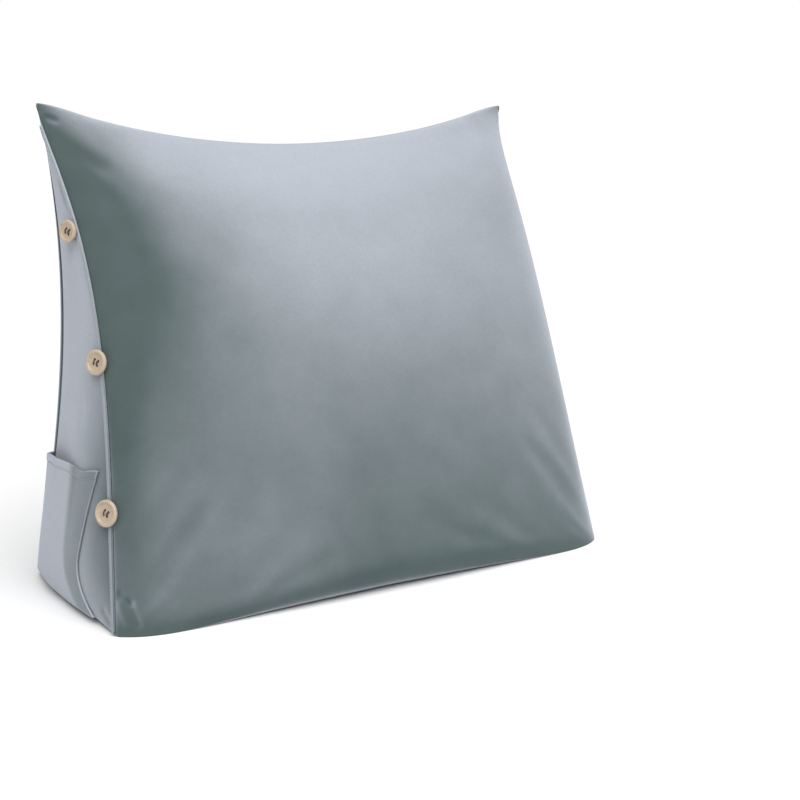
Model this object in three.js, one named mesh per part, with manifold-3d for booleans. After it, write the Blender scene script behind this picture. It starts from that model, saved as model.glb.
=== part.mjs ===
// A wedge-shaped backrest pillow in short velvet, stuffed tight: one filled cushion, a narrow
// topstitched placket strip on its left front seam, three wooden buttons on that strip, and a
// patch pocket with a hemmed mouth on the left side.
// Millimetres. +X is the pillow's right seen from the front, +Y its back, +Z up.
// The origin is the middle of the base, on the face that rests.

import * as THREE from 'three';
import { ParametricGeometry } from 'three/addons/geometries/ParametricGeometry.js';
import { mergeGeometries, mergeVertices } from 'three/addons/utils/BufferGeometryUtils.js';
import Module from 'manifold-3d';

// Cushion, between its sewn corners
const width = 600; // from ear to ear along the top
const baseFlare = 9.6; // each base corner lies this far outside the ear above it
const height = 522; // of the two ears
const depth = 236; // of the base along a side seam
const earSetback = 195; // of the ears behind the front corners of the base
const topSag = 45; // of the top fold between the ears
const topSetback = 10; // of the top fold behind the ears
const earTip = 0.045; // share of the width in which the top fold leaves an ear level
const earPinch = 10; // the higher, the shorter the tip in which both seams run together

// How far the pressure draws each side seam in, and how much higher than its middle
const seams = {
  front: { inward: 21, forward: 26, skew: 0.456 },
  back: { inward: 23, forward: 11, skew: 0.24 },
};

// How the wide panels swell: a short roll beside the side seams and a broad dome over it, by
// the atFoot share above the floor and in full at the fullAt share of the height. The line
// where a panel meets the floor bulges by floor at a distance of floorAt from a side seam.
const panels = {
  front: { roll: 22.5, reach: 20, dome: 33, atFoot: 0.75, fullAt: 0.353, floor: 22, floorAt: 68 },
  back: { roll: 14, reach: 18, dome: 24, atFoot: 0.6, fullAt: 0.36, floor: 14, floorAt: 80 },
};
const underRoll = { corner: 22, middle: 36 }; // height over which a wide panel rolls under
const topRoundness = 2.2; // how late the swelling ends below the top fold
const topSteepness = 0.6; // how steeply it ends there
const leanStart = 0.3; // share of the height over which the swelling turns square to the lean
const overhang = { out: 3, reach: 18 }; // sideways swelling of the front beyond the side seams

// How the two triangular side panels swell
const side = { crown: 18, footShare: 0.12, taper: 0.9 };

// Placket strip along the left front seam
const strip = { width: 5.5, thickness: 2, from: 0.006, to: 0.955 };

// Patch pocket on the left side, sewn at its back, lower and front edges, open at the top
const pocket = {
  thickness: 2,
  hemThickness: 2.8,
  hemDepth: 10,
  foot: 4, // height of its lower edge
  inset: 2, // of its back edge from the back seam
  reachFoot: 191, // from the back seam to the front edge at the foot
  reachWaist: 148, // and where the edge is drawn back most
  reachMouth: 157, // and at the mouth
  waist: 65, // height of that place
  gapeMouth: 9.2, // stand-off of the mouth from the side panel
  gapeFoot: 3.4, // and just above the lower edge
  gapeRise: 12, // distance from the back edge over which the cloth stands off
  gapeEnd: 118, // distance from the back seam where it lies down again
  gapeFall: 0.45, // share of that distance over which it comes down
  footRise: 14, // height over which the cloth stands off above its lower edge
};

// The slack mouth of the pocket: its height at shares of the way from back to front
const mouthLine = [
  { share: 0, height: 146 },
  { share: 0.4, height: 157 },
  { share: 0.58, height: 157 },
  { share: 0.78, height: 151 },
  { share: 1, height: 156 },
];

// Wooden buttons: height of the centre, its distance behind the front seam and the radius
const buttons = [
  { name: 'button_1', height: 391.6, behind: 11, radius: 11.8 },
  { name: 'button_2', height: 263.7, behind: 4, radius: 13.2 },
  { name: 'button_3', height: 118, behind: 3, radius: 13.9 },
];
const button = {
  thickness: 4.6,
  edge: 1.2, // rounding of the outer edge
  rimWidth: 3.2,
  rimRound: 0.6, // by which the flat top of the rim stops short of its inner edge
  dishSlope: 0.9, // by which the foot of the dish lies inside the rim's inner edge
  dish: 1.3, // depth of the dished middle below the rim
  hollow: 0.3, // how much deeper the dish is at its centre
  holeRadius: 1.3,
  holeSpacing: 2.5, // of each hole from the axis, along both directions
  turnForward: 0.17, // radians that its face turns from the side towards the front
};

const gap = 0.3; // between pieces that touch
const pocketGap = 0.6; // between the pocket's sewn edges and the side panel
const velvetColour = 0x8b9799;
const woodColour = 0xc8b193;

const clamp = THREE.MathUtils.clamp;
const lerp = THREE.MathUtils.lerp;

// Even steps from 0 to 1, packed closer near both ends
const packed = (share) => 0.5 * (1 - Math.cos(Math.PI * share));

// Shared edges of neighbouring panels fall on the same points of a fine lattice
const lattice = 256;
function setOnLattice(target, point) {
  target.set(
    Math.round(point.x * lattice) / lattice,
    Math.round(point.y * lattice) / lattice,
    Math.round(point.z * lattice) / lattice,
  );
}

// Share of a seam's drawing-in at a share of its height
function drawnIn(share, skew) {
  return 4 * share * (1 - share) * (1 + skew * (2 * share - 1));
}

// A point of a side seam: hand is -1 on the left and 1 on the right
function plainSeam(which, hand, share) {
  const seam = seams[which];
  const bow = drawnIn(share, seam.skew);
  const foot = which === 'front' ? -depth / 2 : depth / 2;
  const ear = -depth / 2 + earSetback;
  return new THREE.Vector3(
    hand * (width / 2 + baseFlare * (1 - share) - seam.inward * bow),
    lerp(foot, ear, share) - seam.forward * bow,
    height * share,
  );
}

function seamPoint(which, hand, share) {
  const back = plainSeam('back', hand, share);
  if (which === 'back') return back;
  return back.lerp(plainSeam('front', hand, share), 1 - share ** earPinch);
}

function topFold(across) {
  const tip = 1 - Math.exp(-Math.min(across, 1 - across) / earTip);
  const sag = 4 * across * (1 - across) * tip;
  return new THREE.Vector3(
    width * (across - 0.5),
    -depth / 2 + earSetback + topSetback * sag,
    height - topSag * sag,
  );
}

// How far a wide panel swells at a distance from the nearer side seam
function swellAcross(panel, distance) {
  const middle = width / 2;
  const roll = panel.roll * (1 - Math.exp(-distance / panel.reach));
  return roll + panel.dome * (1 - (1 - distance / middle) ** 2);
}

// Share of the swelling at a share of the height
function swellUp(panel, share) {
  const growing = 1 - (1 - clamp(share / panel.fullAt, 0, 1)) ** 2;
  const ending = clamp((share - panel.fullAt) / (1 - panel.fullAt), 0, 1);
  return lerp(panel.atFoot, 1, growing) * (1 - ending ** topRoundness) ** topSteepness;
}

// How far a wide panel stands beyond its seams, rolled under at the floor
function swellOf(panel, distance, up) {
  const above = swellAcross(panel, distance) * swellUp(panel, up);
  const near = distance / panel.floorAt;
  const onFloor = panel.floor * near * Math.exp(1 - near);
  const roll = lerp(underRoll.corner, underRoll.middle, distance / (width / 2));
  const under = clamp(1 - (up * height) / roll, 0, 1);
  return lerp(above, onFloor, 1 - Math.sqrt(1 - under ** 2));
}

// A point of the front or back panel: across from left to right, up from floor to top fold
function widePanel(which, across, up) {
  const panel = panels[which];
  const left = seamPoint(which, -1, up);
  const right = seamPoint(which, 1, up);
  const floorLeft = seamPoint(which, -1, 0);
  const floorRight = seamPoint(which, 1, 0);
  const ruled = left.lerp(right, across);
  const floor = floorLeft.clone().lerp(floorRight, across);
  const top = topFold(across);
  const corners = floor.clone().lerp(topFold(0).lerp(topFold(1), across), up);
  const point = ruled.add(floor.lerp(top, up)).sub(corners);

  const run = which === 'front' ? earSetback : depth - earSetback;
  const lean = Math.atan2(run, height) * clamp(up / leanStart, 0, 1);
  const distance = (1 - Math.abs(2 * across - 1)) * (width / 2);
  const swell = swellOf(panel, distance, up);
  point.y += (which === 'front' ? -1 : 1) * swell * Math.cos(lean);
  point.z += swell * Math.sin(lean);
  if (which === 'front') {
    const near = (distance / overhang.reach) * Math.exp(1 - distance / overhang.reach);
    point.x += Math.sign(across - 0.5) * overhang.out * near * Math.sin(Math.PI * up);
  }
  return point;
}

function sideWidth(up) {
  return seamPoint('front', -1, up).distanceTo(seamPoint('back', -1, up));
}

// A point of a side panel: behind runs from its front seam to its back seam
function sidePanel(hand, behind, up) {
  const point = seamPoint('front', hand, up).lerp(seamPoint('back', hand, up), behind);
  const under = clamp(1 - up / side.footShare, 0, 1);
  const foot = Math.sqrt(1 - under ** 2);
  const share = (sideWidth(up) / depth) ** side.taper;
  point.x += hand * side.crown * share * foot * 4 * behind * (1 - behind);
  return point;
}

// The outward direction of the left side panel
function sideNormal(behind, up) {
  const step = 0.002;
  const back = sidePanel(-1, behind + step, up).sub(sidePanel(-1, behind - step, up));
  const rise = sidePanel(-1, behind, up + step).sub(sidePanel(-1, behind, up - step));
  return rise.cross(back).normalize();
}

// A closed mesh from patches whose edges meet: equal points merged, empty triangles left out
function closedMesh(patches) {
  for (const patch of patches) {
    patch.deleteAttribute('normal');
    patch.deleteAttribute('uv');
  }
  const merged = mergeVertices(mergeGeometries(patches));
  const index = merged.getIndex().array;
  const kept = [];
  for (let i = 0; i < index.length; i += 3) {
    const [a, b, c] = [index[i], index[i + 1], index[i + 2]];
    if (a !== b && b !== c && c !== a) kept.push(a, b, c);
  }
  merged.setIndex(kept);
  merged.computeVertexNormals();
  return merged;
}

function patch(pointAt, slices, stacks) {
  return new ParametricGeometry(
    (u, v, target) => setOnLattice(target, pointAt(u, v)),
    slices,
    stacks,
  );
}

// A thin closed sheet. pointAt takes three shares: along the width, along the length, and
// through the thickness, which points out where width, length and thickness are right-handed.
function sheet(pointAt, slices, stacks) {
  return closedMesh([
    patch((u, v) => pointAt(u, v, 1), slices, stacks),
    patch((u, v) => pointAt(1 - u, v, 0), slices, stacks),
    patch((u, v) => pointAt(u, 0, v), slices, 1),
    patch((u, v) => pointAt(1 - u, 1, v), slices, 1),
    patch((u, v) => pointAt(0, v, u), 1, stacks),
    patch((u, v) => pointAt(1, v, 1 - u), 1, stacks),
  ]);
}

function cushionGeometry() {
  const across = 32;
  const up = 28;
  const through = 16;
  const base = (u, v) =>
    widePanel('back', packed(u), 0).lerp(widePanel('front', packed(u), 0), packed(v));
  return closedMesh([
    patch((u, v) => widePanel('front', packed(u), packed(v)), across, up),
    patch((u, v) => widePanel('back', packed(1 - u), packed(v)), across, up),
    patch((u, v) => sidePanel(-1, packed(1 - u), packed(v)), through, up),
    patch((u, v) => sidePanel(1, packed(u), packed(v)), through, up),
    patch(base, across, through),
  ]);
}

// A point of the strip, which follows the side panel from the front seam back
function stripPoint(across, up, out) {
  const behind = ((1 - across) * strip.width) / Math.max(sideWidth(up), strip.width * 2);
  const lift = gap + strip.thickness * out;
  return sidePanel(-1, behind, up).addScaledVector(sideNormal(behind, up), lift);
}

function stripGeometry() {
  const pointAt = (across, along, out) =>
    stripPoint(across, lerp(strip.from, strip.to, along), out);
  return sheet(pointAt, 2, 34);
}

// Distance of the pocket's front edge from the back seam, at a height
function pocketReach(level) {
  const below = level < pocket.waist;
  const end = below ? pocket.foot : mouthHeight(1);
  const reach = below ? pocket.reachFoot : pocket.reachMouth;
  const away = (level - pocket.waist) / (end - pocket.waist);
  return lerp(pocket.reachWaist, reach, away ** 2);
}

function mouthHeight(share) {
  const next = Math.max(1, mouthLine.findIndex((row) => row.share >= share));
  const [from, to] = [mouthLine[next - 1], mouthLine[next]];
  const along = clamp((share - from.share) / (to.share - from.share), 0, 1);
  return lerp(from.height, to.height, along * along * (3 - 2 * along));
}

// How far the pocket's cloth stands off the side panel
function pocketGape(distance, share, rise) {
  const lift = 1 - Math.exp(-(distance - pocket.inset) / pocket.gapeRise);
  const lie = clamp((pocket.gapeEnd - distance) / (pocket.gapeEnd * pocket.gapeFall), 0, 1);
  const down = lie * lie * (3 - 2 * lie);
  const foot = Math.sqrt(1 - clamp(1 - rise / pocket.footRise, 0, 1) ** 2);
  return lerp(pocket.gapeFoot, pocket.gapeMouth, share) * lift * down * foot;
}

function pocketGeometry() {
  const slices = 20;
  const stacks = 14;
  const hemRow = (stacks - 2) / stacks;
  return sheet((across, along, out) => {
    const mouth = mouthHeight(across);
    const body = mouth - pocket.hemDepth - pocket.foot;
    const rise = along <= hemRow
      ? (along / hemRow) * body
      : body + ((along - hemRow) / (1 - hemRow)) * pocket.hemDepth;
    const share = rise / (mouth - pocket.foot);
    const reach = pocketReach(pocket.foot + rise);
    const distance = lerp(pocket.inset, reach, across);
    const up = (pocket.foot + rise) / height;
    const behind = 1 - distance / sideWidth(up);
    const inHem = along > hemRow + 0.25 / stacks;
    const thickness = inHem ? pocket.hemThickness : pocket.thickness;
    const lift = pocketGap + pocketGape(distance, share, rise) + thickness * out;
    return sidePanel(-1, behind, up).addScaledVector(sideNormal(behind, up), lift);
  }, slices, stacks);
}

// A turned button with a rounded edge, a raised rim, a dished middle and four through holes
function buttonGeometry(wasm, buttonRadius) {
  const sides = 32;
  const inner = buttonRadius - button.rimWidth;
  const floor = button.thickness - button.dish;
  const outline = [
    [0, 0],
    [buttonRadius - button.edge, 0],
    [buttonRadius, button.edge],
    [buttonRadius, button.thickness - button.edge],
    [buttonRadius - button.edge, button.thickness],
    [inner + button.rimRound, button.thickness],
    [inner - button.dishSlope, floor],
    [0, floor - button.hollow],
  ];
  const points = outline.map(([radius, along]) => new THREE.Vector2(radius, along));
  let solid = toSolid(wasm, new THREE.LatheGeometry(points, sides));
  for (const x of [-1, 1]) {
    for (const z of [-1, 1]) {
      const hole = new THREE.CylinderGeometry(
        button.holeRadius,
        button.holeRadius,
        button.thickness * 3,
        8,
      );
      hole.translate(x * button.holeSpacing, 0, z * button.holeSpacing);
      solid = solid.subtract(toSolid(wasm, hole));
    }
  }
  return fromSolid(solid);
}

function toSolid(wasm, geometry) {
  const closed = closedMesh([geometry]);
  return new wasm.Manifold(new wasm.Mesh({
    numProp: 3,
    vertProperties: new Float32Array(closed.getAttribute('position').array),
    triVerts: new Uint32Array(closed.getIndex().array),
  }));
}

function fromSolid(solid) {
  const mesh = solid.getMesh();
  const geometry = new THREE.BufferGeometry();
  geometry.setAttribute('position', new THREE.BufferAttribute(mesh.vertProperties, 3));
  geometry.setIndex(new THREE.BufferAttribute(mesh.triVerts, 1));
  geometry.computeVertexNormals();
  return geometry;
}

const velvet = () => new THREE.MeshStandardMaterial({
  color: velvetColour,
  roughness: 0.85,
  metalness: 0,
});
const wood = () => new THREE.MeshStandardMaterial({
  color: woodColour,
  roughness: 0.6,
  metalness: 0,
});

function addMesh(group, name, geometry, material) {
  const mesh = new THREE.Mesh(geometry, material);
  mesh.name = name;
  group.add(mesh);
  return mesh;
}

// How far the cloth under a button reaches along its axis, within its outline
function seatReach(centre, normal, up, buttonRadius) {
  const steps = 24;
  let reach = -buttonRadius;
  for (let i = 0; i <= steps; i += 1) {
    const level = up + (buttonRadius / height) * ((2 * i) / steps - 1);
    for (let j = 0; j <= steps; j += 1) {
      const share = j / steps;
      const under = [
        sidePanel(-1, share, level),
        stripPoint(share, level, 1),
        widePanel('front', (share * buttonRadius * 2) / width, level),
      ];
      for (const point of under) {
        const along = point.sub(centre).dot(normal);
        if (point.addScaledVector(normal, -along).length() > buttonRadius) continue;
        reach = Math.max(reach, along);
      }
    }
  }
  return reach;
}

// Seats a button on the strip, its face turned a little towards the front
function placeButton(mesh, row) {
  const up = row.height / height;
  const behind = row.behind / sideWidth(up);
  const normal = sideNormal(behind, up);
  normal.applyAxisAngle(new THREE.Vector3(0, 0, 1), button.turnForward);
  const centre = sidePanel(-1, behind, up);
  const lift = seatReach(centre, normal, up, row.radius) + gap;
  mesh.position.copy(centre).addScaledVector(normal, lift);
  mesh.quaternion.setFromUnitVectors(new THREE.Vector3(0, 1, 0), normal);
}

const wasm = await Module();
wasm.setup();

const pillow = new THREE.Group();
addMesh(pillow, 'cushion', cushionGeometry(), velvet());
addMesh(pillow, 'placket_strip', stripGeometry(), velvet());
addMesh(pillow, 'pocket', pocketGeometry(), velvet());
for (const row of buttons) {
  placeButton(addMesh(pillow, row.name, buttonGeometry(wasm, row.radius), wood()), row);
}

export default pillow;
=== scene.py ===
import math
from collections import namedtuple

import bmesh
import bpy
import numpy as np
from bpy.props import FloatProperty, FloatVectorProperty, IntProperty, PointerProperty
from mathutils import Matrix, Vector, kdtree


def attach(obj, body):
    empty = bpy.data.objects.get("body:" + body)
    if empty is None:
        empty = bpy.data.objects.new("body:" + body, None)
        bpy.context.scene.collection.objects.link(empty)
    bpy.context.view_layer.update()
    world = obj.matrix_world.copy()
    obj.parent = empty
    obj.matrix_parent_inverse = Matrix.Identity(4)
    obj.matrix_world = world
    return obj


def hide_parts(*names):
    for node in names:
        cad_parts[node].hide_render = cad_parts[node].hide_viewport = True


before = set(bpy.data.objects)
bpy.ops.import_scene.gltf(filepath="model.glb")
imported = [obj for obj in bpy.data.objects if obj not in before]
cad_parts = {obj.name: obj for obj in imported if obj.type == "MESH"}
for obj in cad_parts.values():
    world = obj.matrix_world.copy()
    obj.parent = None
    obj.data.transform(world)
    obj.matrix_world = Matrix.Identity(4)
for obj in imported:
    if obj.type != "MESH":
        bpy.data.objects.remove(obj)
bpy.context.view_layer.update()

bl_info = {
    "name": "Backrest pillow",
    "version": (1, 0, 0),
    "blender": (4, 5, 0),
    "location": "3D View > Sidebar > Pillow",
    "description": "Builds a velvet wedge pillow with a buttoned strip and a patch pocket",
    "category": "Object",
}

BODY = "root"
AXIS_UP = Vector((0, 0, 1))

# The wedge's form, in metres
WIDTH = 0.600  # from ear to ear along the top
BASE_FLARE = 0.0096  # each base corner lies this far outside the ear above it
HEIGHT = 0.522  # of the two ears
DEPTH = 0.236  # of the base along a side seam
EAR_SETBACK = 0.195  # of the ears behind the front corners of the base
TOP_SAG = 0.045  # of the top fold between the ears
TOP_SETBACK = 0.010  # of the top fold behind the ears
EAR_TIP = 0.045  # share of the width in which the top fold leaves an ear level
EAR_PINCH = 10  # the higher, the shorter the tip in which both seams run together
SEAMS = {
    "front": {"inward": 0.021, "forward": 0.026, "skew": 0.456},
    "back": {"inward": 0.0262, "forward": 0.011, "skew": 0.24},
}
# Swell of the wide panels: the roll beside a seam, the dome of the middle, the share of
# both at the foot, the height where they are full, and the bulge at the floor
PANELS = {
    "front": {
        "roll": 0.0225, "reach": 0.020, "dome": 0.033, "at_foot": 0.75, "full_at": 0.353,
        "floor": 0.022, "floor_at": 0.068,
    },
    "back": {
        "roll": 0.014, "reach": 0.018, "dome": 0.024, "at_foot": 0.6, "full_at": 0.36,
        "floor": 0.014, "floor_at": 0.080,
    },
}
UNDER_ROLL = {"corner": 0.022, "middle": 0.036}  # radius of the roll at the floor
TOP_ROUNDNESS = 2.2  # the higher, the later the swell ends below the top fold
TOP_STEEPNESS = 0.6  # the lower, the blunter it ends
LEAN_START = 0.3  # share of the height above which a panel swells across its lean
# How far the panels hang over their side seams, and how soon
OVERHANG = {
    "left": {"out": 0.0012, "reach": 0.018, "fading": 1.0},
    "right": {"out": 0.0030, "reach": 0.018, "fading": 1.0},
    "back": {"out": 0.0070, "reach": 0.006, "fading": 0.5},
}
SIDE = {"crown": 0.018, "foot_share": 0.12, "taper": 0.9}  # the swell of a side panel

# Placket strip along the left front seam: its ends are shares of the height, the rest of
# its shape is in metres and in shares of its half width
# Along the strip's middle, between its two folded edges, painted shade darkens the pile
STRIP = {
    "width": 0.0049, "thickness": 0.002, "from": 0.006, "to": 0.955, "slices": 14, "stacks": 180,
    "ridge_at": 0.72, "ridge_width": 0.22, "pile_and_painted_shade": 0.62, "shade_width": 0.55,
}

# Patch pocket on the left side
POCKET = {
    "thickness": 0.002, "hem_thickness": 0.0028, "hem_depth": 0.010, "foot": 0.008,
    "inset": 0.002, "reach_foot": 0.191, "reach_waist": 0.148, "reach_mouth": 0.157,
    "waist": 0.065, "gape_mouth": 0.0092, "gape_foot": 0.0034, "gape_rise": 0.012,
    "gape_end": 0.118, "gape_fading": 0.45, "foot_rise": 0.014, "gap": 0.0006,
    "hem_edge": 0.0012, "hem_dip": 0.0011, "stitches_from": 0.02,
}
MOUTH_LINE = [
    {"share": 0.0, "height": 0.144},
    {"share": 0.4, "height": 0.153},
    {"share": 0.58, "height": 0.1535},
    {"share": 0.78, "height": 0.150},
    {"share": 1.0, "height": 0.156},
]
# Painted shade on the pocket past a crease line that runs from its foot to its mouth, a darker tone
# near its foot, and a painted highlight along its front rim
POCKET_CREASE = {
    "at_foot": 0.76, "at_mouth": 0.615, "width": 0.12, "pile_and_painted_shade": 0.46,
    "foot_darkening": 0.28, "foot_reach": 0.12, "rim_highlight": 0.25, "rim_from": 0.9,
}
GAP = 0.0003  # between the cushion and the strip

# The base seams of both sides rise off the floor behind their front corners
FOOT_LIFT = {"along": 0.0045, "from": 0.20, "corner": 0.006, "corner_reach": 0.024, "reach": 0.022}

# Each kind of sewn seam: depth and half width of its groove, half width of the painted shadow line
# in it
SEAM_GROOVES = {
    "front": {"depth": 0.0006, "width": 0.0012, "dark": 0.0008},
    "back": {"depth": 0.0012, "width": 0.0014, "dark": 0.0024},
    "foot": {"depth": 0.0014, "width": 0.0016, "dark": 0.0012},
}

# Wooden buttons: radius in metres
BUTTONS = {"button_1": 0.0118, "button_2": 0.0132, "button_3": 0.0139}

# Where the pile is darkened towards the front left seam, partly as smoothed pile and partly as
# painted shade (or, below 0, made paler as brushed-up pile and painted light): distances from the
# seam in metres, heights in shares of the pillow's
PileAndShade = namedtuple("PileAndShade", "amount at reach up up_reach")
FRONT_PILE_AND_SHADE = [
    PileAndShade(0.40, 0.0, 0.030, 0.45, 0.50),
    PileAndShade(0.47, 0.0, 0.130, 0.78, 0.30),
    PileAndShade(-0.09, 0.098, 0.042, 0.81, 0.17),
    PileAndShade(-0.11, 0.16, 0.110, 0.0, 0.30),
    PileAndShade(0.14, 0.0, 9.0, 0.0, 0.022),
    PileAndShade(0.10, 0.0, 9.0, 0.80, 0.14),
    PileAndShade(0.14, 0.60, 0.050, 0.45, 0.45),
    PileAndShade(-0.20, 0.0, 0.080, 1.0, 0.05),
]
# On the side panel it paints shade low down beside the front seam, between the pocket and the strip,
# and a darker band near the top
SIDE_PILE_AND_SHADE = [
    PileAndShade(0.47, 0.0, 0.100, 0.22, 0.36),
    PileAndShade(0.20, 0.0, 9.0, 0.825, 0.035),
]

# A point belongs to a panel when it looks back no further than this
FACING = {"front": 0.1, "side": 0.3}
FRONT_DEPTH = 0.1  # the front ends this far behind the pillow's middle

# Creases of the filled cover: both ends, as shares across (or behind the front seam) and up,
# half width and depth in metres; a depth below 0 is a bulge
Crease = namedtuple("Crease", "panel start end width depth")
CREASES = [
    Crease("front", (0.006, 0.078), (0.020, 0.062), 0.0035, 0.0017),
    Crease("front", (0.020, 0.062), (0.030, 0.022), 0.0040, 0.0016),
    Crease("front", (0.006, 0.058), (0.018, 0.022), 0.0050, -0.0012),
    Crease("front", (0.014, 0.969), (0.025, 0.965), 0.0035, 0.0010),
    Crease("front", (0.030, 0.900), (0.075, 0.880), 0.0120, 0.0016),
    Crease("front", (0.030, 0.815), (0.060, 0.805), 0.0100, 0.0012),
    Crease("side", (0.150, 0.845), (0.120, 0.800), 0.0050, 0.0022),
    Crease("side", (0.350, 0.400), (0.600, 0.415), 0.0120, 0.0016),
    Crease("side", (0.050, 0.020), (0.090, 0.035), 0.0045, 0.0010),
]

# The filling: which points it leaves in place, how soon the rest may move, and the cloth
HELD = {"seam": 0.0015, "base": 0.0005, "ear": 0.045}
FILLING = {"steps": 20, "slack_reach": 0.020, "fold_reach": 0.030}
CLOTH = {
    "quality": 6, "mass": 0.35, "tension_stiffness": 20, "compression_stiffness": 20,
    "shear_stiffness": 8, "bending_stiffness": 1.5,
}

# Points closer than this are joined where the sheets of a piece meet
WELD = {"cushion": 0.00008, "strip": 0.00002, "button": 0.00001}

# Turned buttons: roundness of the outer edge, then the slope from the rim into the dish
BUTTON = {
    "edge": 0.0016, "lip": 0.0009, "slope_from": 0.0005, "slope": 0.0019, "slope_drop": 0.0001,
    "hollow": 0.00022, "hollow_middle": 0.0003, "bevel": 0.00022,
}
# Upright stitches of a button: side of the holes, how far the middle is drawn over, and
# where its strands lie, in shares of their spacing
BUTTON_STITCHES = [(-1, 0.0, (-0.3, 0.3)), (1, -0.0011, (-0.6, 0.15, 0.75))]

# Noise of the materials, in waves on a metre, and the parts of it that count as low and high
PILE_NOISE = {"strokes": 7.0, "marks": 16.0, "clouds": 34.0, "tufts": 420.0, "fibres": 1500.0}
CLOUDS = {"low": 0.36, "high": 0.64, "darker": 0.93, "paler": 1.07}
FLECKS = {"low": 0.3, "high": 0.7, "strength": 0.16, "tone": 0.72}
SEAM_SHADOW = {"from": 0.25, "strength": 0.8, "tone": 0.4}
THREAD_TWIST = {"noise": 2600.0, "low": 0.35, "high": 0.65, "depth": 0.0002}
WOOD = {
    "stretch": (900.0, 260.0, 60.0), "streak_low": 0.42, "streak_high": 0.66, "streaks": 0.45,
    "noise": 240.0, "mottle_low": 0.5, "mottle_high": 0.72, "mottle": 0.3, "depth": 0.00025,
}

# Lamps: degrees around from the front to the right, degrees up, metres away
SIDE_LAMP = {
    "azimuth": -135, "elevation": 20, "distance": 2.4, "size": 1.6, "tint": (0.97, 0.98, 1.0),
}
OVERHEAD_LAMP = {"azimuth": -10, "elevation": 60, "distance": 4, "spread": 70}


def lerp(a, b, share):
    return a + (b - a) * share


def clamp(value, low=0.0, high=1.0):
    return max(low, min(high, value))


def smooth(share):
    share = clamp(share)
    return share * share * (3 - 2 * share)


def packed(share, amount=0.75):
    """Steps from 0 to 1 that lie closer together near both ends."""
    return lerp(share, 0.5 * (1 - math.cos(math.pi * share)), amount)


def drawn_in(share, skew):
    return 4 * share * (1 - share) * (1 + skew * (2 * share - 1))


def plain_seam(which, hand, share):
    seam = SEAMS[which]
    bow = drawn_in(share, seam["skew"])
    foot = -DEPTH / 2 if which == "front" else DEPTH / 2
    ear = -DEPTH / 2 + EAR_SETBACK
    return Vector((
        hand * (WIDTH / 2 + BASE_FLARE * (1 - share) - seam["inward"] * bow),
        lerp(foot, ear, share) - seam["forward"] * bow,
        HEIGHT * share,
    ))


def seam_point(which, hand, share):
    """A point of a side seam: hand is -1 on the left and 1 on the right."""
    back = plain_seam("back", hand, share)
    if which == "back":
        return back
    return back.lerp(plain_seam("front", hand, share), 1 - share ** EAR_PINCH)


def top_fold(across):
    tip = 1 - math.exp(-min(across, 1 - across) / EAR_TIP)
    sag = 4 * across * (1 - across) * tip
    ear = -DEPTH / 2 + EAR_SETBACK
    return Vector((WIDTH * (across - 0.5), ear + TOP_SETBACK * sag, HEIGHT - TOP_SAG * sag))


def swell_across(panel, distance):
    roll = panel["roll"] * (1 - math.exp(-distance / panel["reach"]))
    return roll + panel["dome"] * (1 - (1 - distance / (WIDTH / 2)) ** 2)


def swell_up(panel, share):
    full = panel["full_at"]
    growing = 1 - (1 - clamp(share / full)) ** 2
    ending = clamp((share - full) / (1 - full))
    top = (1 - ending ** TOP_ROUNDNESS) ** TOP_STEEPNESS
    return lerp(panel["at_foot"], 1, growing) * top


def swell_of(panel, distance, up):
    """How far a wide panel stands beyond its seams, rolled under at the floor."""
    above = swell_across(panel, distance) * swell_up(panel, up)
    near = distance / panel["floor_at"]
    on_floor = panel["floor"] * near * math.exp(1 - near)
    roll = lerp(UNDER_ROLL["corner"], UNDER_ROLL["middle"], distance / (WIDTH / 2))
    under = clamp(1 - up * HEIGHT / roll)
    return lerp(above, on_floor, 1 - math.sqrt(1 - under ** 2))


def wide_panel(which, across, up):
    """A point of the front or back: across from left to right, up from floor to top fold."""
    panel = PANELS[which]
    ruled = seam_point(which, -1, up).lerp(seam_point(which, 1, up), across)
    floor = seam_point(which, -1, 0).lerp(seam_point(which, 1, 0), across)
    corners = floor.lerp(top_fold(0).lerp(top_fold(1), across), up)
    point = ruled + floor.lerp(top_fold(across), up) - corners

    run = EAR_SETBACK if which == "front" else DEPTH - EAR_SETBACK
    lean = math.atan2(run, HEIGHT) * clamp(up / LEAN_START)
    distance = (1 - abs(2 * across - 1)) * (WIDTH / 2)
    swell = swell_of(panel, distance, up)
    point.y += (-1 if which == "front" else 1) * swell * math.cos(lean)
    point.z += swell * math.sin(lean)
    hang = OVERHANG["back" if which == "back" else "left" if across < 0.5 else "right"]
    near = distance / hang["reach"] * math.exp(1 - distance / hang["reach"])
    held = clamp(math.sin(math.pi * up)) ** hang["fading"]
    point.x += math.copysign(hang["out"] * near, across - 0.5) * held
    return point


def side_width(up):
    return (seam_point("front", -1, up) - seam_point("back", -1, up)).length


def side_panel(hand, behind, up):
    """A point of a side panel: behind runs from its front seam to its back seam."""
    point = seam_point("front", hand, up).lerp(seam_point("back", hand, up), behind)
    under = clamp(1 - up / SIDE["foot_share"])
    share = (side_width(up) / DEPTH) ** SIDE["taper"]
    bulge = SIDE["crown"] * share * math.sqrt(1 - under ** 2) * 4 * behind * (1 - behind)
    point.x += hand * bulge
    return point


def side_normal(behind, up):
    step = 0.002
    back = side_panel(-1, behind + step, up) - side_panel(-1, behind - step, up)
    rise = side_panel(-1, behind, up + step) - side_panel(-1, behind, up - step)
    return rise.cross(back).normalized()


def base_point(across, forward):
    return wide_panel("back", across, 0).lerp(wide_panel("front", across, 0), forward)


def mouth_height(share):
    """Height of the pocket's slack mouth at a share of the way from back to front."""
    for start, end in zip(MOUTH_LINE, MOUTH_LINE[1:]):
        if share <= end["share"]:
            break
    along = smooth((share - start["share"]) / (end["share"] - start["share"]))
    return lerp(start["height"], end["height"], along)


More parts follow.
